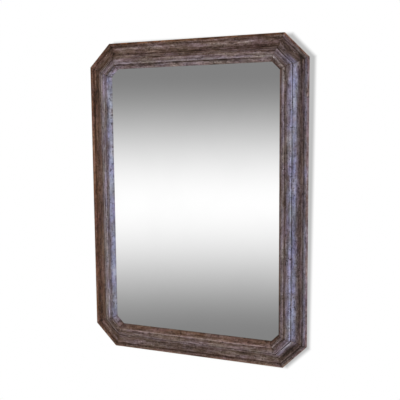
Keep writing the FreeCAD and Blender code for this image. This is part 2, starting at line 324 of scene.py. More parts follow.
@dataclass(frozen=True)
class LimedPatinaAndPaintedLight(Finish):
    """Dark stained wood under a lavender-grey wash of lime, wearing thin, with spots of dirt and chalky
    flecks, and painted light: the lavender and the warm brown stand partly for cool and warm light, and the
    tone brings painted shade and highlights.
    """

    stained: Scale = tints((40, 27, 20), (76, 58, 49), (108, 90, 85), (140, 123, 120), (172, 158, 155))
    # The lavender limed colour, partly painted cool light where the tables lay it.
    limed: Scale = tints((46, 40, 47), (84, 80, 91), (118, 116, 132), (147, 147, 165), (178, 179, 196))
    # The warm brown colour, partly painted warm light where the tables lay it.
    rubbed_and_warm_light: Scale = tints((44, 25, 15), (88, 57, 42), (126, 89, 70), (154, 118, 98), (186, 152, 132))
    bare: Scale = tints((78, 40, 10), (138, 84, 34), (176, 124, 68), (200, 158, 106))
    chalk: Triple = tint(216, 206, 200)
    dirt: Triple = tint(38, 27, 23)
    broad: Cloud = Cloud(8.0, 26.0)
    streak: Cloud = Cloud(24.0, 200.0, 7.0, 4.0, 0.6)
    blotch: Cloud = Cloud(64.0, 125.0, 3.0, 4.0, 0.7)
    fine: Cloud = Cloud(240.0, 330.0, 11.0, 3.0, 0.6)
    mask: Cloud = Cloud(30.0, 95.0, 13.0, 5.0, 0.65)
    drift: Cloud = Cloud(7.0, 90.0, 23.0)
    speck: Cloud = Cloud(210.0, 300.0, 17.0)
    spot: Cloud = Cloud(150.0, 240.0, 31.0)
    casts: tuple[tuple[Cloud, Triple, Triple], ...] = (
        (Cloud(18.0, 60.0, 41.0), (1.0, 1.01, 0.9), (1.0, 0.99, 1.1)),
        (Cloud(18.0, 60.0, 47.0), (1.03, 0.99, 1.0), (0.97, 1.01, 1.0)),
    )
    mottling: float = 0.46
    most_chalk: float = 0.7
    most_dirt: float = 0.75
    relief_depth: float = 0.0012

    def paint(self, sheet: NodeSheet) -> None:
        """Lay the stain, the warm brown and the lavender colour, both partly painted light, the bare edge,
        flecks and dirt over each other.

        Args:
            sheet: The material's node sheet.
        """
        # The course's third column is the warm brown share, partly painted warm light; the patina note holds
        # the tone with painted shade and highlights in it, the lavender share, partly painted cool light,
        # and the wear.
        course = sheet.attribute("course")
        rubbed_and_warm_light = sheet.axes(course)[2]
        tone, limed, wear = sheet.axes(sheet.attribute("patina"))
        mottled, bare, drifting = sheet.axes(sheet.attribute("handling"))
        grain = (self.broad, self.streak, self.blotch, self.fine)
        broad, streak, blotch, fine = (cloud.draw(sheet, course) for cloud in grain)
        layers = (self.mask, self.drift, self.speck, self.spot)
        mask, drift, speck, spot = (cloud.draw(sheet, course) for cloud in layers)

        mottle = sheet.mixture((broad, 0.1), (streak, 0.34), (blotch, 0.3), (fine, 0.26))
        swing = sheet.level(mottle, *MOST, -self.mottling, self.mottling)
        drift = sheet.level(drift, *MOST, -1.0, 1.0)
        value = sheet.mixture((tone, 1.0), (swing, mottled), (drift, drifting))
        worn_and_warm_lit = sheet.product(rubbed_and_warm_light, sheet.level(mask, 0.3, 0.6, 0.5, 1.1))
        cover = sheet.product(limed, sheet.level(mask, 0.34, 0.56, 0.42, 1.12))
        colour = sheet.shade(value, self.stained)
        for share, scale in ((worn_and_warm_lit, self.rubbed_and_warm_light), (cover, self.limed), (bare, self.bare)):
            colour = sheet.blend(share, colour, sheet.shade(value, scale))
        for cloud, warm, cool in self.casts:
            cast = sheet.blend(sheet.level(cloud.draw(sheet, course), 0.38, 0.62), warm, cool)
            colour = sheet.blend(1.0, colour, cast, "MULTIPLY")

        flecks = sheet.product(sheet.level(speck, 0.62, 0.68), sheet.level(wear, 0.0, 0.7))
        flecks = sheet.product(flecks, sheet.level(blotch, 0.5, 0.62, 0.0, self.most_chalk))
        spots = sheet.level(spot, 0.61, 0.66, 0.0, self.most_dirt)
        for share, over in ((flecks, self.chalk), (spots, self.dirt)):
            colour = sheet.blend(share, colour, over)
        sheet.surface(
            Base_Color=colour,
            Roughness=sheet.level(cover, 0.0, 0.8, 0.55, 0.8),
            Specular_IOR_Level=0.3,
            Normal=sheet.relief(sheet.mixture((fine, 0.5), (blotch, 0.5)), self.relief_depth, 0.8),
        )


@dataclass(frozen=True)
class SawnWood(Finish):
    """Bare wood with long grain: the hidden faces of the frame and the tongues."""

    light: Triple = tint(150, 116, 80)
    dark: Triple = tint(104, 76, 50)
    grain: Triple = (22.0, 300.0, 300.0)
    from_course: bool = False

    def paint(self, sheet: NodeSheet) -> None:
        """Draw long fibres with darker stains.

        Args:
            sheet: The material's node sheet.
        """
        if self.from_course:
            place = sheet.stretched(sheet.attribute("course"), self.grain)
        else:
            place = sheet.own_place(*self.grain)
        fibre = sheet.noise(place, 5.0, 0.6)
        stain = sheet.noise(sheet.own_place(9.0), 3.0)
        colour = sheet.blend(sheet.level(fibre, 0.32, 0.68), self.dark, self.light)
        sheet.surface(
            Base_Color=sheet.blend(sheet.level(stain, 0.5, 0.75, 0.0, 0.55), colour, self.dark),
            Roughness=sheet.level(fibre, 0.2, 0.8, 0.82, 0.62),
            Specular_IOR_Level=0.25,
            Normal=sheet.relief(fibre, 0.0004, 0.6),
        )


@dataclass(frozen=True)
class PlyPanel(Finish):
    """A thin sheet of plywood: upright face grain, and plies across its edges."""

    light: Triple = tint(190, 156, 112)
    dark: Triple = tint(164, 128, 86)
    age: Triple = tint(126, 96, 66)
    ring: float = 0.035
    ply: float = 0.002

    def paint(self, sheet: NodeSheet) -> None:
        """Draw the face grain, the age stains and the plies.

        Args:
            sheet: The material's node sheet.
        """
        rings = sheet.to_and_fro(sheet.noise(sheet.own_place(9.0, 9.0, 1.1), 2.0, 0.5), self.ring)
        fibre = sheet.noise(sheet.own_place(900.0, 900.0, 14.0), 3.0)
        age = sheet.noise(sheet.own_place(4.0), 4.0, 0.6)
        layer = sheet.to_and_fro(sheet.axes(sheet.own_place(0.0, 1.0 / self.ply, 0.0))[1], 1.0)
        colour = sheet.blend(sheet.level(rings, 0.0, self.ring, 0.0, 0.55), self.light, self.dark)
        colour = sheet.blend(sheet.level(fibre, 0.45, 0.8, 0.0, 0.4), colour, self.dark)
        colour = sheet.blend(sheet.level(age, 0.4, 0.8, 0.0, 0.45), colour, self.age)
        sheet.surface(
            Base_Color=sheet.blend(sheet.level(layer, *MOST, 0.0, 0.18), colour, self.age),
            Roughness=sheet.level(fibre, 0.2, 0.8, 0.74, 0.58),
            Specular_IOR_Level=0.3,
            Normal=sheet.relief(fibre, 0.0002, 0.5),
        )


@dataclass(frozen=True)
class SilveredPlate(Finish):
    """A clear plate silvered on its back, almost flawless."""

    silver: Triple = (0.97, 0.97, 0.97)
    haze: Triple = (0.945, 0.945, 0.945)

    def paint(self, sheet: NodeSheet) -> None:
        """Make a mirror with the faintest haze.

        Args:
            sheet: The material's node sheet.
        """
        cloud = sheet.noise(sheet.own_place(6.0), 3.0)
        sheet.surface(
            Base_Color=sheet.blend(sheet.level(cloud, 0.45, 0.8), self.silver, self.haze),
            Metallic=1.0,
            Roughness=sheet.level(cloud, 0.2, 0.9, 0.0, 0.012),
        )


@dataclass(frozen=True)
class PressedFelt(Finish):
    """Thin grey felt."""

    light: Triple = tint(96, 98, 96)
    dark: Triple = tint(58, 60, 60)

    def paint(self, sheet: NodeSheet) -> None:
        """Draw short matted fibres.

        Args:
            sheet: The material's node sheet.
        """
        fibre = sheet.noise(sheet.own_place(420.0), 4.0, 0.7)
        sheet.surface(
            Base_Color=sheet.blend(sheet.level(fibre, *MOST), self.dark, self.light),
            Roughness=0.95,
            Sheen_Weight=0.3,
            Normal=sheet.relief(fibre, 0.0004),
        )


@dataclass(frozen=True)
class WornMetal(Finish):
    """Plain metal with a brushed grain, dull patches and spots."""

    bright: Triple
    dull: Triple
    spot: Triple
    grain: Triple = (300.0, 300.0, 2600.0)
    smoothest: float = 0.28
    roughest: float = 0.52

    def paint(self, sheet: NodeSheet) -> None:
        """Draw brushing, dulled patches and small spots.

        Args:
            sheet: The material's node sheet.
        """
        patch = sheet.noise(sheet.own_place(130.0), 4.0, 0.6)
        brushed = sheet.noise(sheet.own_place(*self.grain), 2.0)
        spots = sheet.level(sheet.noise(sheet.own_place(420.0), 2.0), 0.66, 0.76, 0.0, 0.7)
        colour = sheet.blend(sheet.level(patch, 0.38, 0.68), self.bright, self.dull)
        sheet.surface(
            Base_Color=sheet.blend(spots, colour, self.spot),
            Metallic=1.0,
            Roughness=sheet.level(patch, 0.3, 0.75, self.smoothest, self.roughest),
            Normal=sheet.relief(brushed, 0.00005, 0.5),
        )


@dataclass(frozen=True)
class DullRubber(Finish):
    """Black rubber with a dusty bloom."""

    black: Triple = tint(34, 34, 35)
    dust: Triple = tint(82, 80, 77)

    def paint(self, sheet: NodeSheet) -> None:
        """Draw a fine skin and a dusty bloom.

        Args:
            sheet: The material's node sheet.
        """
        skin = sheet.noise(sheet.own_place(900.0), 2.0)
        bloom = sheet.noise(sheet.own_place(120.0), 4.0)
        sheet.surface(
            Base_Color=sheet.blend(sheet.level(bloom, 0.45, 0.8, 0.0, 0.6), self.black, self.dust),
            Roughness=sheet.level(bloom, 0.3, 0.7, 0.6, 0.85),
            Normal=sheet.relief(skin, 0.0001, 0.5),
        )


@dataclass(frozen=True)
class PaleFloor(Finish):
    """A pale matt floor that the glass doesn't show."""

    light: Triple = (0.9, 0.9, 0.9)
    dark: Triple = (0.86, 0.86, 0.86)

    def paint(self, sheet: NodeSheet) -> None:
        """Draw a faint cloud, and let glossy rays through.

        Args:
            sheet: The material's node sheet.
        """
        grain = sheet.noise(sheet.own_place(3.0), 3.0)
        pale = sheet.add("BsdfDiffuse", Color=sheet.blend(grain, self.dark, self.light)).outputs[0]
        clear = sheet.add("BsdfTransparent").outputs[0]
        sheet.show(sheet.either(sheet.add("LightPath").outputs["Is Glossy Ray"], pale, clear))


@dataclass(frozen=True)
class WallShade(Finish):
    """A soft shadow on a white wall, clear from behind, as deep as its piece's own attribute says."""

    deepest: Triple = tint(190, 190, 190)

    def paint(self, sheet: NodeSheet) -> None:
        """Fade from the white wall to the shadow, on the room's side alone.

        Args:
            sheet: The material's node sheet.
        """
        inside = sheet.add("Attribute", {"attribute_name": "depth"}).outputs["Fac"]
        soft = sheet.add("MapRange", {"interpolation_type": "SMOOTHSTEP"}, Value=inside).outputs["Result"]
        glow = sheet.add("Emission", Color=sheet.blend(soft, WHITE, self.deepest), Strength=1.0).outputs[0]
        clear = sheet.add("BsdfTransparent").outputs[0]
        sheet.show(sheet.either(sheet.add("NewGeometry").outputs["Backfacing"], glow, clear))


class Bench:
    """Mesh work by hand in edit mode, with the selection made by place."""

    @staticmethod
    def clear() -> None:
        """Leave edit mode and deselect everything."""
        if bpy.context.object is not None and bpy.context.object.mode != "OBJECT":
            bpy.ops.object.mode_set(mode="OBJECT")
        bpy.ops.object.select_all(action="DESELECT")

    @staticmethod
    def take(piece: Piece) -> None:
        """Make one piece the only selected and active one.

        Args:
            piece: The piece to work on.
        """
        Bench.clear()
        piece.select_set(True)
        bpy.context.view_layer.objects.active = piece

    @staticmethod
    def edit(piece: Piece) -> None:
        """Open one piece in edit mode, all of it selected.

        Args:
            piece: The piece to work on.
        """
        Bench.take(piece)
        bpy.ops.object.mode_set(mode="EDIT")
        bpy.ops.mesh.select_all(action="SELECT")

    @staticmethod
    def started(name: str) -> Piece:
        """Name the primitive that was just added, and put its turn and place into its mesh.

        Args:
            name: The piece's name.

        Returns:
            The new piece.
        """
        piece = bpy.context.object
        piece.name = piece.data.name = name
        bpy.ops.object.transform_apply(location=True, rotation=True, scale=True)
        return piece

    @staticmethod
    def rod(name: str, radius: float, length: float, middle: Numbers, sides: int) -> Piece:
        """Start a piece as a rod that points at the wall.

        Args:
            name: The piece's name.
            radius: Its radius, in metres.
            length: Its length, in metres.
            middle: Where its middle is.
            sides: How many flats stand for its round.

        Returns:
            The new piece.
        """
        Bench.clear()
        bpy.ops.mesh.primitive_cylinder_add(
            vertices=sides, radius=radius, depth=length, location=middle, rotation=(QUARTER, 0, 0)
        )
        return Bench.started(name)

    @staticmethod
    def octagon(name: str, middle: Numbers, size: Numbers, cut: float, turn: float = 0.0) -> Piece:
        """Start a piece as an upright card with its corners cut off, and leave it open in edit mode.

        Args:
            name: The piece's name.
            middle: Where its middle is.
            size: Its width and height, in metres.
            cut: How much of each edge a corner's cut takes, in metres.
            turn: How far it is turned on the wall, in radians.

        Returns:
            The new piece.
        """
        Bench.clear()
        bpy.ops.mesh.primitive_plane_add(size=1, location=middle, rotation=(QUARTER, turn, 0))
        bpy.context.object.scale = (*size, 1)
        piece = Bench.started(name)
        Bench.edit(piece)
        bpy.ops.mesh.bevel(offset=cut, segments=1, affect="VERTICES")
        return piece

    @staticmethod
    def pick(piece: Piece, kind: Pick, test: Test) -> None:
        """Select the elements that a test accepts.

        Args:
            piece: The piece in edit mode.
            kind: Whether vertices, edges or faces are meant.
            test: Is given an element's middle and its direction or normal.
        """
        bpy.ops.mesh.select_mode(type=kind.value)
        bpy.ops.mesh.select_all(action="DESELECT")
        mesh = bmesh.from_edit_mesh(piece.data)
        if kind is Pick.VERTS:
            found = [v for v in mesh.verts if test(v.co, v.normal)]
        elif kind is Pick.EDGES:
            ends = [(e, e.verts[0].co, e.verts[1].co) for e in mesh.edges]
            found = [e for e, a, b in ends if test((a + b) / 2, (b - a).normalized())]
        else:
            found = [f for f in mesh.faces if test(f.calc_center_median(), f.normal)]
        for element in found:
            element.select_set(True)
        mesh.select_flush_mode()
        bmesh.update_edit_mesh(piece.data)

    @staticmethod
    def extrude(move: Numbers) -> None:
        """Extrude what is selected by a move."""
        bpy.ops.mesh.extrude_region_move(TRANSFORM_OT_translate={"value": tuple(move)})

    @staticmethod
    def ease(piece: Piece, test: Test, reach: float, steps: int) -> None:
        """Round the edges that a test accepts.

        Args:
            piece: The piece in edit mode.
            test: Is given an edge's middle and its direction.
            reach: How far the round goes on each side, in mm.
            steps: How many flats stand for the round.
        """
        Bench.pick(piece, Pick.EDGES, test)
        bpy.ops.mesh.bevel(offset=reach * MM, segments=steps, affect="EDGES")

    @staticmethod
    def close(piece: Piece) -> None:
        """Merge doubles and turn the faces outwards, then leave edit mode.

        Args:
            piece: The piece in edit mode.
        """
        bpy.ops.mesh.select_mode(type="VERT")
        bpy.ops.mesh.select_all(action="SELECT")
        bpy.ops.mesh.remove_doubles(threshold=HAIR / 2)
        bpy.ops.mesh.normals_make_consistent(inside=False)
        Bench.take(piece)

    @staticmethod
    def carve(piece: Piece, cutter: Piece) -> None:
        """Cut one piece with another, and throw the cutter away.

        Args:
            piece: The piece that stays.
            cutter: The piece that is taken out of it.
        """
        Bench.take(piece)
        cut = piece.modifiers.new("cut", "BOOLEAN")
        cut.operation = "DIFFERENCE"
        cut.solver = "EXACT"
        cut.object = cutter
        bpy.ops.object.modifier_apply(modifier=cut.name)
        bpy.data.objects.remove(cutter)

    @staticmethod
    def place(piece: Piece, turn: Matrix) -> None:
        """Turn and move a piece, and put its turn and place into its mesh.

        Args:
            piece: The piece to place.
            turn: Its turn and place.
        """
        Bench.take(piece)
        piece.matrix_world = turn
        bpy.ops.object.transform_apply(location=True, rotation=True, scale=True)

    @staticmethod
    def copy(piece: Piece, name: str, turn: Matrix) -> Piece:
        """Copy a piece with its own mesh.

        Args:
            piece: The piece to copy.
            name: The copy's name.
            turn: The copy's turn and place.

        Returns:
            The copy.
        """
        Bench.take(piece)
        bpy.ops.object.duplicate(linked=False)
        made = bpy.context.object
        made.name = made.data.name = name
        Bench.place(made, turn)
        return made

    @staticmethod
    def smooth(piece: Piece, degrees: float) -> None:
        """Shade a piece smooth, apart from edges sharper than an angle."""
        Bench.take(piece)
        bpy.ops.object.shade_smooth_by_angle(angle=math.radians(degrees))


def coat(piece: Piece, finish: Material) -> None:
    """Put one finish on all of a piece."""
    piece.data.materials.clear()
    piece.data.materials.append(finish)


def settle(piece: Piece, node: str, body: str = "mirror") -> Piece:
    """Let a piece stand for a CAD node, and ride on a body.

    Args:
        piece: The finished piece.
        node: The CAD node that it stands for.
        body: The body that carries it.

    Returns:
        The same piece.
    """
    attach(piece, body)
    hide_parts(node)
    return piece


def pivots(joints: Sequence[Joint], ending: str) -> list[tuple[str, Vector]]:
    """The bodies that move on joints with such an ending to their names, and their pivots."""
    return [(joint["child"], Vector(joint["pos_m"])) for joint in joints if joint["name"].endswith(ending)]


@dataclass(frozen=True)
class Stroke:
    """One stroke of the moulding's section, in mm inwards from the outer edge and forwards from the back."""

    to: tuple[float, float]
    through: tuple[float, float] | None = None
    steps: int = 1


@dataclass(frozen=True)
class PatinaAndPaintedLight:
    """How a side looks at each member of its moulding, from the rim to the sight edge: its patina and
    painted light, a cool lavender where a member faces the light from the right, a warm brown where it faces
    the light from the left, and tone levels with painted light and shade in them.
    """

    tone: tuple[float, ...]
    lavender_wash_and_cool_light: tuple[float, ...]
    rubbed_and_warm_light: tuple[float, ...]
    mottled: float
    drifting: float
    bare_edge: float

    members: ClassVar[tuple[float, ...]] = (1, 7, 13, 18, 26, 34, 37.5, 41, 46, 51, 55, 59.5, 64, 68, 73)

    def levels(self, inward: np.ndarray) -> list[np.ndarray]:
        """Read every level at many distances from the rim, in mm, in the order of the fields."""
        by_member = [np.interp(inward, self.members, row) for row in (self.tone, self.lavender_wash_and_cool_light, self.rubbed_and_warm_light)]
        even = (self.mottled, self.drifting, self.bare_edge)
        return by_member + [np.full_like(inward, level) for level in even]

    def halfway(self, other: "PatinaAndPaintedLight", darkening: float) -> "PatinaAndPaintedLight":
        """The levels of a cant between two sides, darker than they are.

        Args:
            other: The levels of the other side.
            darkening: How much darker the cant is.

        Returns:
            The mean of the two, darkened.
        """
        pairs = ((self.tone, other.tone), (self.lavender_wash_and_cool_light, other.lavender_wash_and_cool_light), (self.rubbed_and_warm_light, other.rubbed_and_warm_light))
        tone, lavender_wash_and_cool_light, rubbed_and_warm_light = (tuple((a + b) / 2 for a, b in zip(*pair)) for pair in pairs)
        return PatinaAndPaintedLight(
            tone=tuple(level - darkening for level in tone),
            lavender_wash_and_cool_light=lavender_wash_and_cool_light,
            rubbed_and_warm_light=rubbed_and_warm_light,
            mottled=(self.mottled + other.mottled) / 2,
            drifting=(self.drifting + other.drifting) / 2,
            bare_edge=(self.bare_edge + other.bare_edge) / 2,
        )

    def less_lavender(self, share: float) -> "PatinaAndPaintedLight":
        """The same levels with only a share of the lavender wash left."""
        return replace(self, lavender_wash_and_cool_light=tuple(level * share for level in self.lavender_wash_and_cool_light))


# Member by member per side: the lavender wash is partly painted cool light from the right, the warm brown
# partly painted warm light from the left, and the tone partly painted light and shade.
TOP_PATINA_AND_LIGHT = PatinaAndPaintedLight(
    tone=(0.24, 0.31, 0.34, 0.47, 0.38, 0.36, 0.34, 0.8, 0.26, 0.51, 0.36, 0.98, 0.18, 0.42, 0.62),
    lavender_wash_and_cool_light=(0, 0, 0, 0, 0, 0, 0, 0, 0, 0.05, 0.1, 0.1, 0.15, 0.2, 0.05),
    rubbed_and_warm_light=(0.7, 0.3, 0.1, 0.1, 0.1, 0.2, 0.2, 0.1, 0.1, 0, 0, 0, 0, 0, 0.1),
    mottled=1.02,
    drifting=0.14,
    bare_edge=0.8,
)
RIGHT_PATINA_AND_LIGHT = PatinaAndPaintedLight(
    tone=(0.37, 0.43, 0.47, 0.24, 0.3, 0.51, 0.47, 0.6, 0.41, 0.46, 0.3, 0.51, 0.52, 0.42, 0.26),
    lavender_wash_and_cool_light=(0.6, 0.85, 0.25, 0.1, 0.35, 1, 1, 0.9, 0.75, 0.5, 0.25, 0.1, 0.5, 0.35, 0),
    rubbed_and_warm_light=(0, 0, 0, 0.1, 0.1, 0, 0, 0, 0, 0, 0.1, 0, 0.1, 0.25, 0.8),
    mottled=0.74,
    drifting=0.09,
    bare_edge=0.2,
)
BOTTOM_PATINA_AND_LIGHT = PatinaAndPaintedLight(
    tone=(0.44, 0.37, 0.33, 0.5, 0.34, 0.37, 0.49, 0.59, 0.49, 0.5, 0.27, 0.86, 0.38, 0.41, 0.62),
    lavender_wash_and_cool_light=(0,) * len(PatinaAndPaintedLight.members),
    rubbed_and_warm_light=(0.3, 0.2, 0.1, 0, 0, 0, 0, 0, 0, 0, 0.1, 0.2, 0.3, 0.5, 0.8),
    mottled=1.02,
    drifting=0.06,
    bare_edge=0.3,
)
LEFT_PATINA_AND_LIGHT = PatinaAndPaintedLight(
    tone=(0.16, 0.43, 0.22, 0.28, 0.45, 0.44, 0.47, 0.8, 0.72, 0.57, 0.54, 0.67, 0.32, 0.53, 0.61),
    lavender_wash_and_cool_light=(0, 0, 0, 0, 0, 0, 0.05, 0.15, 0.35, 0.45, 0.42, 0.3, 0.55, 1, 1),
    rubbed_and_warm_light=(1, 1, 0.9, 0.8, 0.5, 0.4, 0.2, 0.1, 0, 0, 0, 0.1, 0, 0, 0),
    mottled=0.82,
    drifting=0.13,
    bare_edge=1.0,
)
TOP_RIGHT_PATINA_AND_LIGHT = TOP_PATINA_AND_LIGHT.halfway(RIGHT_PATINA_AND_LIGHT, 0.03).halfway(RIGHT_PATINA_AND_LIGHT, 0.05).less_lavender(0.45)
BOTTOM_RIGHT_PATINA_AND_LIGHT = BOTTOM_PATINA_AND_LIGHT.halfway(RIGHT_PATINA_AND_LIGHT, 0.06).halfway(RIGHT_PATINA_AND_LIGHT, 0.06).less_lavender(0.6)
BOTTOM_LEFT_PATINA_AND_LIGHT = BOTTOM_PATINA_AND_LIGHT.halfway(LEFT_PATINA_AND_LIGHT, 0.07).less_lavender(0.4)
TOP_LEFT_PATINA_AND_LIGHT = LEFT_PATINA_AND_LIGHT.halfway(TOP_PATINA_AND_LIGHT, 0.05).less_lavender(0.85)


@dataclass(frozen=True)
class Mark:
    """A chip, a stain, or a line of painted highlight or painted shade: its place along and inwards, its
    length and width in mm, and how light it is.
    """

    along: float
    inward: float
    length: float
    width: float
    lift: float

    def weight(self, along: np.ndarray, inward: np.ndarray) -> np.ndarray:
        """How strong the mark is at many places, from 0 to 1."""
        return bell(along - self.along, self.length / 2) * bell(inward - self.inward, self.width / 2)


MARKS: dict[str, tuple[Mark, ...]] = {
    "top_rail": (
        # Partly wear on the arris, partly painted highlight along the crest of the step.
        Mark(-130, 18.3, 230, 3.5, 0.12),
        Mark(180, 40, 110, 6, -0.14),
        # Painted highlight along the swell's arris, and painted shade just inside it.
        Mark(0, 59.4, 560, 2.2, 0.32),
        Mark(-40, 63.2, 480, 2.4, -0.1),
        Mark(-253, 14, 9, 16, -0.3),
        Mark(-247, 28, 10, 20, -0.35),
        Mark(-241, 44, 9, 22, -0.3),
        Mark(170, 32, 180, 12, -0.07),
        Mark(-190, 48, 120, 14, 0.1),
        Mark(130, 50, 180, 12, 0.06),
        Mark(-170, 67, 130, 8, -0.1),
        Mark(60, 70, 170, 6, 0.08),
        Mark(200, 6, 110, 10, -0.08),
        Mark(156, 18.4, 26, 3.6, 0.6),
        Mark(136, 18.8, 12, 3.2, 0.5),
        Mark(174, 17.8, 10, 3.2, 0.55),
        Mark(98, 18.6, 18, 3.6, 0.35),
        Mark(-208, 47.5, 28, 6, 0.25),
    ),
    "top_right_cant": (Mark(35, 14, 22, 14, -0.25),),
    "right_stile": (
        Mark(-312, 48, 9, 5, -0.4),
        Mark(-297, 18, 8, 4, 0.4),
        Mark(345, 5, 24, 5, 0.3),
        Mark(-150, 51, 26, 7, -0.16),
        Mark(-65, 50, 34, 7, -0.14),
        Mark(110, 62, 46, 4, 0.12),
        Mark(40, 34, 150, 9, -0.1),
        Mark(-230, 35, 170, 8, 0.07),
    ),
    "bottom_right_cant": (Mark(4, 36.5, 52, 4.5, 0.4), Mark(-8, 24, 44, 14, -0.26)),
    "bottom_rail": (
        Mark(174, 21.5, 9, 5, 0.3),
        Mark(-150, 28, 12, 7, -0.3),
        Mark(84, 20.5, 10, 6, -0.25),
        Mark(-205, 24, 70, 12, 0.1),
        # Painted highlight along the swell's arris, and painted shade just inside it.
        Mark(0, 58.6, 560, 1.8, 0.14),
        Mark(0, 62.4, 560, 2.4, -0.08),
    ),
    "left_stile": (
        Mark(235, 51, 18, 5, 0.25),
        Mark(-270, 48, 190, 14, 0.07),
        Mark(-10, 48, 26, 16, -0.13),
        Mark(300, 26, 150, 26, -0.1),
        Mark(60, 30, 200, 22, 0.06),
        Mark(-150, 26, 40, 16, -0.1),
        Mark(-18, 25, 18, 14, -0.16),
        Mark(-200, 61, 170, 6, -0.08),
    ),
    "top_left_cant": (Mark(34, 28, 8, 22, -0.25), Mark(29, 42, 8, 20, -0.2)),
}


@dataclass(frozen=True)
class Side:
    """One side of the frame: its length of moulding, the way it faces and the middle of its outer edge."""

    name: str
    length: Length
    facing: float
    across: float
    up: float
    patina_and_painted_light: PatinaAndPaintedLight


@dataclass
class MouldedFrame:
    """The eight mitred lengths of moulding, with their wear, their limed patina and its painted light and
    shade. Sizes are in mm.
    """

    width: float = 650.0
    height: float = 900.0
    corner_cut: float = 65.0
    wall_gap: float = 6.0
    middle: float = -240.3
    rebate_wall: float = 65.7
    rebate_floor: float = 15.0
    strokes: tuple[Stroke, ...] = (
        Stroke((0.0, 0.0)),
        Stroke((0.0, 7.0)),
        Stroke((12.0, 9.2), (5.4, 12.6), 12),
        Stroke((12.0, 7.8)),
        Stroke((13.3, 7.8)),
        Stroke((13.3, 10.2)),
        Stroke((18.0, 10.2), None, 3),
        Stroke((37.0, 19.2), (23.1, 8.8), 16),
        Stroke((37.0, 20.2)),
        Stroke((39.6, 20.2), None, 2),
        Stroke((39.6, 18.8)),
        Stroke((40.9, 18.8)),
        Stroke((40.9, 20.0)),
        Stroke((57.6, 27.5), (53.64, 28.3), 14),
        Stroke((57.6, 25.7)),
        Stroke((58.9, 25.7)),
        Stroke((62.7, 28.8), (60.04, 28.03), 6),
        Stroke((74.7, 17.5), (70.21, 24.75), 10),
        Stroke((74.7, rebate_floor)),
        Stroke((rebate_wall, rebate_floor)),
    )
    arrises: Table = (
        (0.0, 0.0), (0.0, 7.0), (12.0, 9.2), (13.3, 10.2), (18.0, 10.2), (37.0, 20.2), (39.6, 20.2),
        (40.9, 20.0), (57.6, 27.5), (74.7, 17.5), (74.7, 15.0),
    )
    arris_round: float = 0.35
    mitre_gap: float = 0.12
    pace: float = 4.0
    first_cuts: int = 11
    fade: float = 14.0
    mitre_dirt: float = 0.12
    mitre_reach: float = 1.6
    pattern_step: float = 1.7
    # Painted shade in the quirks: each quirk's distance from the rim and how much darker it is painted, with
    # painted highlight on the arrises either side; a negative amount lightens the quirk and darkens beside
    # it.
    crease_shade_lines: Table = ((12.65, -0.06), (40.25, 0.4), (58.25, 0.1))
    crease_shade_reach: float = 0.9
    arris_highlight_away: float = 2.0
    arris_highlight_reach: float = 0.8
    bare_reach: float = 4.0
    still_rim: float = 1.0
    rim_reach: float = 8.0
    rim_wear: float = 0.1
    hidden_inward: float = 65.5
    hidden_forward: float = 15.1
    hidden_back: float = 0.5
    waves: tuple[tuple[str, float, float], ...] = (("face", 30.0, 0.45), ("arris", 7.0, 0.5))
    wear: Table = (
        (0, 0.6), (2, 0.3), (5.4, 0.4), (9, 0.2), (12, 0.4), (13.3, 0.2), (17, 0.3), (18, 1.0), (19.5, 0.2),
        (24, 0.05), (33, 0.1), (36.5, 0.5), (38, 0.7), (39.6, 0.5), (41, 0.2), (46, 0.25), (53, 0.35),
        (57, 0.4), (59, 0.2), (61, 0.6), (62.7, 0.8), (65, 0.3), (70, 0.15), (74, 0.3), (74.7, 0.5),
    )

    def sides(self) -> tuple[Side, ...]:
        """The eight sides, clockwise from the top as seen from the room."""
        wide, high = self.width / 2, self.height / 2
        cant_wide, cant_high = wide - self.corner_cut / 2, high - self.corner_cut / 2
        return (
            Side("top_rail", Length.RAIL, 0, 0, high, TOP_PATINA_AND_LIGHT),
            Side("top_right_cant", Length.CANT, 45, cant_wide, cant_high, TOP_RIGHT_PATINA_AND_LIGHT),
            Side("right_stile", Length.STILE, 90, wide, 0, RIGHT_PATINA_AND_LIGHT),
            Side("bottom_right_cant", Length.CANT, 135, cant_wide, -cant_high, BOTTOM_RIGHT_PATINA_AND_LIGHT),
            Side("bottom_rail", Length.RAIL, 180, 0, -high, BOTTOM_PATINA_AND_LIGHT),
            Side("bottom_left_cant", Length.CANT, 225, -cant_wide, -cant_high, BOTTOM_LEFT_PATINA_AND_LIGHT),
            Side("left_stile", Length.STILE, 270, -wide, 0, LEFT_PATINA_AND_LIGHT),
            Side("top_left_cant", Length.CANT, 315, -cant_wide, cant_high, TOP_LEFT_PATINA_AND_LIGHT),
        )

    def half_length(self, length: Length) -> float:
        """Half of a length's outer edge, in mm."""
        if length is Length.CANT:
            return self.corner_cut / math.sqrt(2)
        return (self.width if length is Length.RAIL else self.height) / 2 - self.corner_cut

    def point(self, along: float, place: tuple[float, float]) -> Vector:
        """A point of a length that lies along x, with the middle of its outer edge above the origin.

        Args:
            along: The place along the length, in mm.
            place: Inwards and forwards, in mm.

        Returns:
            The point, in metres.
        """
        inward, forward = place
        return Vector((along, -self.wall_gap - forward, -inward)) * MM

    @staticmethod
    def spin(here: Vector, middle: Vector, there: Vector, steps: int) -> None:
        """Spin the selected vertex of a section round the arc through three points.

        Args:
            here: Where it is.
            middle: A point that the arc goes through.
            there: Where the arc ends.
            steps: How many flats stand for the arc.
        """
        points = np.array([point.yz for point in (here, middle, there)])
        y, z = np.linalg.solve(2 * np.diff(points, axis=0), np.diff((points**2).sum(axis=1)))
        turns = np.unwrap(np.arctan2(points[:, 1] - z, points[:, 0] - y))
        bpy.ops.mesh.spin(steps=steps, angle=turns[0] - turns[2], center=(here.x, y, z), axis=(1, 0, 0))

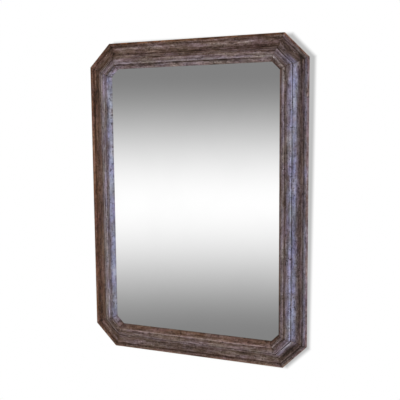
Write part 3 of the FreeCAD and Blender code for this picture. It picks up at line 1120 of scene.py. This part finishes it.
    def draw_section(self, length: Length) -> Piece:
        """Draw the section at the length's left end: a point, pulled along lines and spun round arcs.

        Args:
            length: The length of moulding.

        Returns:
            A piece with the section's face.
        """
        left = -self.half_length(length)
        here = self.point(left, (self.rebate_wall, 0.0))
        Bench.clear()
        bpy.ops.mesh.primitive_plane_add(size=MM, location=here)
        piece = Bench.started(f"{length.value}_pattern")
        Bench.edit(piece)
        bpy.ops.mesh.merge(type="CENTER")
        bpy.ops.mesh.select_mode(type="VERT")
        bpy.ops.mesh.select_all(action="SELECT")
        for stroke in self.strokes:
            there = self.point(left, stroke.to)
            if stroke.through is None:
                for _ in range(stroke.steps):
                    Bench.extrude((there - here) / stroke.steps)
            else:
                self.spin(here, self.point(left, stroke.through), there, stroke.steps)
            here = there
        bpy.ops.mesh.select_all(action="SELECT")
        bpy.ops.mesh.edge_face_add()
        corners = [self.point(left, place) for place in self.arrises]
        Bench.pick(piece, Pick.VERTS, lambda co, _: min((co - c).length for c in corners) < 2 * HAIR)
        bpy.ops.mesh.bevel(offset=self.arris_round * MM, segments=2, affect="VERTICES")
        return piece

    def cut_length(self, length: Length) -> Piece:
        """Run the section out, divide it along its length and mitre both ends.

        Args:
            length: The length of moulding.

        Returns:
            The mitred length, lying along x.
        """
        piece = self.draw_section(length)
        half = self.half_length(length)
        bpy.ops.mesh.select_all(action="SELECT")
        Bench.extrude((2 * half * MM, 0, 0))
        cuts = max(2, round(2 * half / self.pace / (self.first_cuts + 1)))
        for number in (self.first_cuts, cuts - 1):
            Bench.pick(piece, Pick.EDGES, lambda _, run: abs(run.x) > STRAIGHT)
            bpy.ops.mesh.subdivide(number_cuts=number)
        for end in (-1, 1):
            corner = self.point(end * (half - self.mitre_gap), (0.0, 0.0))
            bpy.ops.mesh.select_all(action="SELECT")
            slant = (end, 0, -MITRE_SLOPE)
            bpy.ops.mesh.bisect(plane_co=corner, plane_no=slant, use_fill=True, clear_outer=True)
        Bench.close(piece)
        return piece

    def dress(self, piece: Piece, shown: Material, hidden: Material) -> None:
        """Give the face its patina with painted light and shade, and the back, the rebate and the mitres
        bare wood.

        Args:
            piece: The mitred length, lying along x.
            shown: The finish of the face.
            hidden: The finish of the hidden faces.
        """
        back = self.point(0.0, (0.0, 0.3)).y
        lip = self.point(0.0, (0.0, self.rebate_floor - 1)).y

        def unpainted(middle: Vector, out: Vector) -> bool:
            """Whether a face lies on the back, on a mitre or in the rebate."""
            behind = middle.y > back or out.y > 0.9
            return behind or abs(out.x) > 0.7 or (out.z < -STRAIGHT and middle.y > lip)

        coat(piece, shown)
        piece.data.materials.append(hidden)
        Bench.edit(piece)
        Bench.pick(piece, Pick.FACES, unpainted)
        piece.active_material_index = 1
        bpy.ops.object.material_slot_assign()
        bpy.ops.object.mode_set(mode="OBJECT")

    def survey(self, mesh: bpy.types.Mesh) -> np.ndarray:
        """Find where the vertices of a length that lies along x are.

        Args:
            mesh: The length's mesh.

        Returns:
            Three rows, in mm: along the length, inwards and forwards.
        """
        places = np.empty(len(mesh.vertices) * 3)
        mesh.vertices.foreach_get("co", places)
        along, depth, outward = places.reshape(-1, 3).T / MM
        return np.stack([along, -outward, -self.wall_gap - depth])

    def wear_at(self, inward: np.ndarray) -> np.ndarray:
        """How worn the section is at many distances from the rim, in mm."""
        return np.interp(inward, *zip(*self.wear))

    def mark_course(self, piece: Piece, number: int) -> None:
        """Note on each vertex where it lies on the moulding, how light and limed it is and how far its wear
        goes, painted light and shade included.

        The finish runs over the mitres, so towards each end it fades into the neighbour's.

        Args:
            piece: The mitred length, lying along x.
            number: The side that it is for, counted clockwise from the top.
        """
        sides = self.sides()
        side, before, after = (sides[(number + step) % len(sides)] for step in (0, -1, 1))
        along, inward, _ = self.survey(piece.data)
        to_mitre = np.clip(self.half_length(side.length) - inward * MITRE_SLOPE - np.abs(along), 0, None)
        fade = np.exp(-to_mitre / self.fade) / 2
        tone, lavender_wash_and_cool_light, rubbed_and_warm_light, mottled, drifting, bare_edge = (
            (1 - fade) * mine + fade * np.where(along < 0, left, right)
            for mine, left, right in zip(*(each.patina_and_painted_light.levels(inward) for each in (side, before, after)))
        )
        tone = tone - self.mitre_dirt * np.exp(-to_mitre / self.mitre_reach)
        # Painted shade in each quirk and painted highlight on the arrises beside it: dirt is the painted
        # shade and lip the painted highlight.
        for line, dirt in self.crease_shade_lines:
            away = np.abs(inward - line)
            lip = bell(away - self.arris_highlight_away, self.arris_highlight_reach) / 3
            tone = tone - dirt * (bell(away, self.crease_shade_reach) - lip)
        for mark in MARKS.get(side.name, ()):
            tone = tone + mark.lift * mark.weight(along, inward)
        # The patina note carries the tone with its painted shade, highlights and light, the lavender share,
        # partly painted cool light, and the wear.
        notes = {
            "course": (along * MM + self.pattern_step * number, inward * MM, rubbed_and_warm_light),
            "patina": (tone, lavender_wash_and_cool_light, self.wear_at(inward)),
            "handling": (mottled, bare_edge * bell(inward, self.bare_reach), drifting),
        }
        for name, columns in notes.items():
            attribute = piece.data.attributes.new(name, "FLOAT_VECTOR", "POINT")
            attribute.data.foreach_set("vector", np.stack(columns, axis=1).astype(np.float32).ravel())

    def mark_wear(self, piece: Piece) -> None:
        """Weigh how far each vertex may wear: the hidden faces not at all, and the outer rim hardly.

        Args:
            piece: The mitred length, lying along x.
        """
        _, inward, forward = self.survey(piece.data)
        in_rebate = (inward > self.hidden_inward) & (forward < self.hidden_forward)
        hidden = in_rebate | (forward < self.hidden_back)
        share = np.clip((inward - self.still_rim) / self.rim_reach, self.rim_wear, 1)
        face = np.where(hidden, 0, share)
        for name, weights in (("face", face), ("arris", face * self.wear_at(inward))):
            group = piece.vertex_groups.new(name=name)
            for index in np.nonzero(weights > 0.01)[0]:
                group.add([int(index)], float(weights[index]), "REPLACE")

    def age(self, piece: Piece) -> None:
        """Let the hand-worked face waver and knock its arrises back a little.

        Args:
            piece: The length in its place.
        """
        Bench.take(piece)
        for group, patch, depth in self.waves:
            cloud = bpy.data.textures.new(f"{group}_wear", "CLOUDS")
            cloud.noise_scale = patch * MM
            cloud.noise_depth = 2
            wear = piece.modifiers.new(f"{group}_wear", "DISPLACE")
            wear.texture = cloud
            wear.texture_coords = "GLOBAL"
            wear.vertex_group = group
            wear.mid_level = 1.0
            wear.strength = depth * MM
            bpy.ops.object.modifier_apply(modifier=wear.name)

    def build(self) -> list[Piece]:
        """Make the three lengths once and set a copy of one on each side.

        Returns:
            The eight finished lengths.
        """
        shown = LimedPatinaAndPaintedLight("limed_patina").make()
        hidden = SawnWood("bare_frame_wood", grain=(9.0, 260.0, 0.0), from_course=True).make()
        patterns = {length: self.cut_length(length) for length in Length}
        for pattern in patterns.values():
            self.dress(pattern, shown, hidden)
        made = []
        for number, side in enumerate(self.sides()):
            piece = Bench.copy(patterns[side.length], f"{side.name}_moulding", Matrix.Identity(4))
            self.mark_course(piece, number)
            self.mark_wear(piece)
            place = Matrix.Translation(Vector((side.across, 0, side.up + self.middle)) * MM)
            Bench.place(piece, place @ Matrix.Rotation(math.radians(side.facing), 4, "Y"))
            self.age(piece)
            Bench.smooth(piece, degrees=38)
            made.append(settle(piece, side.name))
        for pattern in patterns.values():
            bpy.data.objects.remove(pattern)
        return made


@dataclass
class RebateStack:
    """What lies in the rebate: the mirror plate, the felt and the panel, and the tongues in the mitres."""

    plate: str = "mirror_plate"
    felt: str = "felt_sheet"
    panel: str = "back_panel"
    tongue_ending: str = "_mitre_tongue"
    felt_edge: float = 0.2

    def cut_felt(self, moulding: MouldedFrame) -> Piece:
        """Cut the felt to the rebate's octagon and lay it on the plate's back.

        Args:
            moulding: The frame whose rebate it lies in.

        Returns:
            The felt.
        """
        low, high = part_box(self.felt)
        size, middle = high - low, (low + high) / 2
        setback = (moulding.width - size.x / MM) / 2
        corner = (moulding.corner_cut - setback * (2 - math.sqrt(2))) * MM
        piece = Bench.octagon("felt_sheet_cut", (middle.x, low.y, middle.z), (size.x, size.z), corner)
        bpy.ops.mesh.select_all(action="SELECT")
        Bench.extrude((0, size.y, 0))
        Bench.ease(piece, lambda _, run: abs(run.y) < 0.5, self.felt_edge, steps=2)
        Bench.close(piece)
        Bench.smooth(piece, degrees=40)
        coat(piece, PressedFelt("pressed_felt").make())
        settle(piece, self.felt)
        return piece

    def build(self, nodes: dict[str, Piece], moulding: MouldedFrame) -> list[Piece]:
        """Cut the felt, and give each plate and tongue its finish.

        Args:
            nodes: The CAD nodes by name.
            moulding: The frame whose rebate holds them.

        Returns:
            The dressed nodes and the felt.
        """
        beech = SawnWood("beech_tongue", tint(190, 150, 104), tint(152, 112, 72)).make()
        finishes = {
            self.plate: SilveredPlate("silvered_plate").make(),
            self.panel: PlyPanel("ply_panel").make(),
        }
        finishes |= {name: beech for name in sorted(nodes) if name.endswith(self.tongue_ending)}
        for name, finish in finishes.items():
            coat(nodes[name], finish)
        return [nodes[name] for name in finishes] + [self.cut_felt(moulding)]


@dataclass
class SlottedScrew:
    """A round-headed slotted screw, modelled once and set in many places. Sizes are in mm."""

    head_radius: float = 4.0
    head_height: float = 2.4
    crown: float = 1.1
    shank_radius: float = 2.0
    shank: float = 14.0
    point: float = 4.0
    slot_length: float = 9.6
    slot_width: float = 0.9
    slot_depth: float = 1.0
    overcut: float = 0.2
    first_turn: float = 0.4
    turn_step: float = 2.1

    def model(self) -> Piece:
        """Model the screw at the origin, its head's underside on y 0 and its head towards the wall.

        Returns:
            The screw.
        """
        top = self.head_height * MM
        piece = Bench.rod("screw_pattern", self.head_radius * MM, top, (0, top / 2, 0), sides=48)
        Bench.edit(piece)
        Bench.ease(piece, lambda middle, _: middle.y > top - HAIR, self.crown, steps=5)
        Bench.pick(piece, Pick.FACES, lambda _, out: out.y < -STRAIGHT)
        bpy.ops.mesh.inset(thickness=(self.head_radius - self.shank_radius) * MM)
        Bench.extrude((0, -self.shank * MM, 0))
        Bench.extrude((0, -self.point * MM, 0))
        bpy.ops.mesh.merge(type="CENTER")
        Bench.close(piece)
        Bench.clear()
        middle = self.head_height + (self.overcut - self.slot_depth) / 2
        bpy.ops.mesh.primitive_cube_add(size=MM, location=(0, middle * MM, 0))
        bpy.context.object.scale = (self.slot_length, self.slot_depth + self.overcut, self.slot_width)
        Bench.carve(piece, Bench.started("slot_cutter"))
        Bench.smooth(piece, degrees=30)
        return piece

    def drive(self, places: list[Vector], name: str, node: str, finish: Material) -> list[Piece]:
        """Drive a copy of the screw in at each place, its slot turned as it happened to stop.

        Args:
            places: Where each head's underside sits.
            name: What the screws are called.
            node: The CAD node that they stand for.
            finish: Their material.

        Returns:
            The screws.
        """
        pattern = self.model()
        coat(pattern, finish)
        made = []
        for number, place in enumerate(places, 1):
            turn = Matrix.Rotation(self.first_turn + self.turn_step * number, 4, "Y")
            screw = Bench.copy(pattern, f"{name}_{number}", Matrix.Translation(place) @ turn)
            made.append(settle(screw, node))
        bpy.data.objects.remove(pattern)
        return made


@dataclass
class TurnButtons:
    """The ten flat brass buttons that hold the panel in, each on its screw. Sizes are in mm."""

    eye_radius: float = 6.5
    tip_radius: float = 4.0
    reach: float = 22.0
    thickness: float = 1.6
    hole_radius: float = 2.05
    edge_round: float = 0.4
    seat: float = -6.0

    def model(self) -> Piece:
        """Model one button with its pivot at the origin, pointing down.

        Returns:
            The button.
        """
        seat = Vector((0, self.seat, 0)) * MM
        wall_side = (self.seat + self.thickness) * MM
        spread = (self.eye_radius - self.tip_radius) / self.reach
        Bench.clear()
        bpy.ops.mesh.primitive_circle_add(
            vertices=64,
            radius=self.eye_radius * MM,
            fill_type="NGON",
            location=seat,
            rotation=(QUARTER, 0, 0),
        )
        piece = Bench.started("button_pattern")
        Bench.edit(piece)
        Bench.pick(piece, Pick.VERTS, lambda place, _: place.z < -spread * self.eye_radius * MM)
        bpy.ops.transform.resize(value=(self.tip_radius / self.eye_radius,) * 3, center_override=seat)
        bpy.ops.transform.translate(value=(0, 0, -self.reach * MM))
        bpy.ops.mesh.select_all(action="SELECT")
        Bench.extrude((0, self.thickness * MM, 0))
        Bench.ease(piece, lambda middle, _: abs(middle.y - wall_side) < HAIR, self.edge_round, steps=3)
        Bench.close(piece)
        hole = Bench.rod("hole_cutter", self.hole_radius * MM, 4 * self.thickness * MM, seat, sides=40)
        Bench.carve(piece, hole)
        Bench.smooth(piece, degrees=40)
        return piece

    def build(self, joints: Sequence[Joint], moulding: MouldedFrame) -> list[Piece]:
        """Set a button on each pivot, and a screw through it.

        Args:
            joints: The record's joints.
            moulding: The frame whose sides carry the buttons.

        Returns:
            The buttons and their screws.
        """
        spot = tint(84, 62, 36)
        brass = WornMetal("aged_brass", tint(205, 170, 100), tint(150, 118, 66), spot).make()
        screw_brass = WornMetal("screw_brass", tint(214, 184, 120), tint(160, 130, 78), spot).make()
        pattern = self.model()
        coat(pattern, brass)
        made, places = [], []
        for name, pivot in pivots(joints, "_button_turn"):
            facing = next(side.facing for side in moulding.sides() if name.startswith(side.name))
            place = Matrix.Translation((pivot.x, 0, pivot.z))
            turn = Matrix.Rotation(math.radians(facing), 4, "Y")
            button = Bench.copy(pattern, f"{name}_eased", place @ turn)
            made.append(settle(button, name, name))
            places.append(Vector((pivot.x, (self.seat + self.thickness) * MM, pivot.z)))
        bpy.data.objects.remove(pattern)
        node = "turn_button_screws"
        return made + SlottedScrew().drive(places, "turn_button_screw", node, screw_brass)


@dataclass
class Hangers:
    """The two folded straps with their rings and screws. Sizes are in mm."""

    straps: tuple[str, str] = ("left_hanger_strap", "right_hanger_strap")
    wire_radius: float = 1.5
    half_width: float = 11.5
    corner_radius: float = 3.0
    leg: float = 7.0
    lean: float = 2.0
    screw_drops: tuple[float, float] = (12.5, 30.0)
    seat: float = -4.0

    def model_ring(self) -> Piece:
        """Bend one ring of round wire, its bar through the origin and its round end up.

        Returns:
            The ring.
        """
        straight = self.half_width - self.corner_radius
        shoulder = self.corner_radius + self.leg
        bends = (
            ((2 * straight, 0, 0), (straight, 0, self.corner_radius), QUARTER, 8),
            ((0, 0, self.leg), (0, 0, shoulder), 2 * QUARTER, 40),
            ((0, 0, -self.leg), (-straight, 0, self.corner_radius), QUARTER, 8),
        )
        Bench.clear()
        bpy.ops.mesh.primitive_circle_add(
            vertices=24,
            radius=self.wire_radius * MM,
            location=(-straight * MM, 0, 0),
            rotation=(0, QUARTER, 0),
        )
        piece = Bench.started("ring_pattern")
        Bench.edit(piece)
        for run, centre, turn, steps in bends:
            Bench.extrude(Vector(run) * MM)
            bpy.ops.mesh.spin(steps=steps, angle=turn, center=Vector(centre) * MM, axis=(0, 1, 0))
        Bench.close(piece)
        Bench.smooth(piece, degrees=60)
        return piece

    def build(self, nodes: dict[str, Piece], joints: Sequence[Joint]) -> list[Piece]:
        """Dress the straps, hang a ring in each and set the screws.

        Args:
            nodes: The CAD nodes by name.
            joints: The record's joints.

        Returns:
            The dressed straps, the rings and the screws.
        """
        rust = tint(92, 66, 46)
        zinc = WornMetal("dull_zinc", tint(176, 178, 180), tint(122, 124, 126), rust).make()
        screw_zinc = WornMetal("screw_zinc", tint(188, 190, 192), tint(130, 132, 134), rust).make()
        pattern = self.model_ring()
        made, places = [nodes[name] for name in self.straps], []
        for piece in (*made, pattern):
            coat(piece, zinc)
        lean = Matrix.Rotation(math.radians(self.lean), 4, "X")
        for name, bar in pivots(joints, "_ring_swing"):
            ring = Bench.copy(pattern, f"{name}_wire", Matrix.Translation(bar) @ lean)
            made.append(settle(ring, name, name))
            places += [Vector((bar.x, self.seat * MM, bar.z - drop * MM)) for drop in self.screw_drops]
        bpy.data.objects.remove(pattern)
        return made + SlottedScrew().drive(places, "hanger_screw", "hanger_screws", screw_zinc)


@dataclass
class WallBumpers:
    """The two rubber studs that keep the lower edge off the wall. Sizes are in mm."""

    names: tuple[str, str] = ("left_wall_bumper", "right_wall_bumper")
    base_radius: float = 9.95
    face_radius: float = 8.0
    edge_round: float = 0.9

    def model(self, name: str) -> Piece:
        """Model one stud where its CAD node is.

        Args:
            name: The CAD node.

        Returns:
            The stud.
        """
        low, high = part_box(name)
        middle = (low + high) / 2
        piece = Bench.rod(f"{name}_rounded", self.base_radius * MM, high.y - low.y, middle, sides=64)
        Bench.edit(piece)
        Bench.pick(piece, Pick.FACES, lambda _, out: out.y > STRAIGHT)
        share = self.face_radius / self.base_radius
        bpy.ops.transform.resize(value=(share,) * 3, center_override=(middle.x, high.y, middle.z))
        Bench.ease(piece, lambda place, _: place.y > high.y - HAIR, self.edge_round, steps=4)
        Bench.close(piece)
        Bench.smooth(piece, degrees=40)
        return piece

    def build(self) -> list[Piece]:
        """Make both studs of dull rubber.

        Returns:
            The studs.
        """
        rubber = DullRubber("dull_rubber").make()
        made = [settle(self.model(name), name) for name in self.names]
        for stud in made:
            coat(stud, rubber)
        return made


@dataclass(frozen=True)
class Lamp:
    """A broad soft lamp, far off: where it stands, how bright a surface facing it gets, and its colour."""

    name: str
    azimuth: float
    elevation: float
    level: float
    colour: Triple
    breadth: float


@dataclass
class Studio:
    """The plain soft studio: lamps, world, floor and camera."""

    lamps: tuple[Lamp, ...] = (
        Lamp("window", 62.0, -8.0, 0.85, (0.93, 0.98, 1.10), 40.0),
        Lamp("front", 5.0, -35.0, 0.20, (1.02, 1.0, 0.98), 70.0),
        Lamp("room", -55.0, 5.0, 0.20, (1.20, 1.0, 0.78), 60.0),
        Lamp("behind", 165.0, 32.0, 0.75, WHITE, 50.0),
    )
    lamp_distance: float = 3.0
    ambient: float = 0.38
    band_middle: float = -0.114
    band_reach: float = 0.2
    band_dim: float = 0.22
    band_strength: float = 1.03
    floor_level: float = -1.69
    floor_size: float = 4.0
    camera_place: Triple = (0.6996, -1.6736, -0.0388)
    camera_aim: Triple = (0.0263, -0.03, -0.2336)
    camera_roll: float = -0.485
    lens: float = 57.93
    sensor: float = 36.0
    shadow_shift: float = 9.0
    shadow_depth: float = 0.5
    shadow_turn: float = 0.6
    shadow_growth: float = 2.0
    shadow_softness: float = 13.0

    def light(self) -> None:
        """Stand the lamps round the mirror."""
        for lamp in self.lamps:
            azimuth, elevation = math.radians(lamp.azimuth), math.radians(lamp.elevation)
            side = math.cos(elevation)
            towards = Vector((math.sin(azimuth) * side, -math.cos(azimuth) * side, math.sin(elevation)))
            bpy.ops.object.light_add(type="SUN", location=towards * self.lamp_distance)
            made = bpy.context.object
            made.name = lamp.name
            made.rotation_mode = "QUATERNION"
            made.rotation_quaternion = towards.to_track_quat("Z", "Y")
            made.data.energy = lamp.level * math.pi
            made.data.angle = math.radians(lamp.breadth)
            made.data.color = lamp.colour
            made.visible_glossy = False

    def surround(self) -> None:
        """Make the world: white behind the mirror, an even light on it, and a bright band in its glass."""
        world = bpy.data.worlds.new("studio")
        world.use_nodes = True
        bpy.context.scene.world = world
        sheet = NodeSheet(world.node_tree)
        rise = sheet.axes(sheet.add("TexCoord").outputs["Generated"])[2]
        glows = ((-1, self.band_dim), (0, 1.0), (1, self.band_dim))
        stops = [((1 + self.band_middle + step * self.band_reach) / 2, (glow,) * 3) for step, glow in glows]
        band = sheet.ramp(sheet.level(rise, -1.0, 1.0), stops, "EASE")
        path = sheet.add("LightPath").outputs
        shown = sheet.add("Background", Color=WHITE, Strength=self.ambient).outputs[0]
        for rays, colour, strength in (("Glossy", band, self.band_strength), ("Camera", WHITE, 1.0)):
            seen = sheet.add("Background", Color=colour, Strength=strength).outputs[0]
            shown = sheet.either(path[f"Is {rays} Ray"], shown, seen)
        sheet.show(shown, "OutputWorld")

    def floor(self) -> None:
        """Lay a pale floor that ends at the wall."""
        Bench.clear()
        place = (0, -self.floor_size / 2, self.floor_level)
        bpy.ops.mesh.primitive_plane_add(size=self.floor_size, location=place)
        floor = Bench.started("floor")
        coat(floor, PaleFloor("pale_floor").make())
        floor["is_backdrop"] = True

    def shade_wall(self, moulding: MouldedFrame) -> None:
        """Lay the soft shadow of the photograph on the wall, for the camera alone and only from the room.

        Args:
            moulding: The frame whose shadow it is.
        """
        beyond = self.shadow_growth + self.shadow_softness
        middle = Vector((self.shadow_shift, self.shadow_depth, moulding.middle)) * MM
        size = Vector((moulding.width + beyond, moulding.height + beyond)) * MM
        turn = math.radians(self.shadow_turn)
        card = Bench.octagon("wall_shadow", middle, size, moulding.corner_cut * MM, turn)
        Bench.pick(card, Pick.FACES, lambda _, out: out.y < -STRAIGHT)
        bpy.ops.mesh.inset(thickness=self.shadow_softness * MM)
        bpy.ops.object.mode_set(mode="OBJECT")
        depth = card.data.attributes.new("depth", "FLOAT", "POINT")
        core = max(card.data.polygons, key=lambda face: len(face.vertices))
        for corner in core.vertices:
            depth.data[corner].value = 1.0
        coat(card, WallShade("wall_shadow").make())
        card.visible_diffuse = card.visible_glossy = card.visible_shadow = False
        card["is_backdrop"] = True

    def look(self) -> None:
        """Stand the camera where the photograph was taken from."""
        place = Vector(self.camera_place)
        turn = (Vector(self.camera_aim) - place).to_track_quat("-Z", "Y").to_matrix().to_4x4()
        roll = Matrix.Rotation(math.radians(self.camera_roll), 4, "Z")
        bpy.ops.object.camera_add()
        camera = bpy.context.object
        camera.matrix_world = Matrix.Translation(place) @ turn @ roll
        camera.data.lens = self.lens
        camera.data.sensor_width = self.sensor
        bpy.context.scene.camera = camera
        bpy.context.scene.view_settings.view_transform = "Standard"

    def build(self, moulding: MouldedFrame) -> None:
        """Set the whole studio up.

        Args:
            moulding: The frame whose shadow falls on the wall.
        """
        Bench.clear()
        self.light()
        self.surround()
        self.floor()
        self.shade_wall(moulding)
        self.look()


def main() -> None:
    """Build and dress every piece, set up the studio and log each piece's faces."""
    logging.basicConfig(level=logging.INFO)
    cad = tuple(corner.copy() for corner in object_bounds())
    nodes = frame["nodes"]
    moulding = MouldedFrame()
    pieces = moulding.build()
    pieces += RebateStack().build(nodes, moulding)
    pieces += TurnButtons().build(frame["joints"], moulding)
    pieces += Hangers().build(nodes, frame["joints"])
    pieces += WallBumpers().build()
    Studio().build(moulding)
    for piece in pieces:
        LOG.info("%s: %d faces", piece.name, len(piece.data.polygons))


if __name__ == "__main__":
    main()
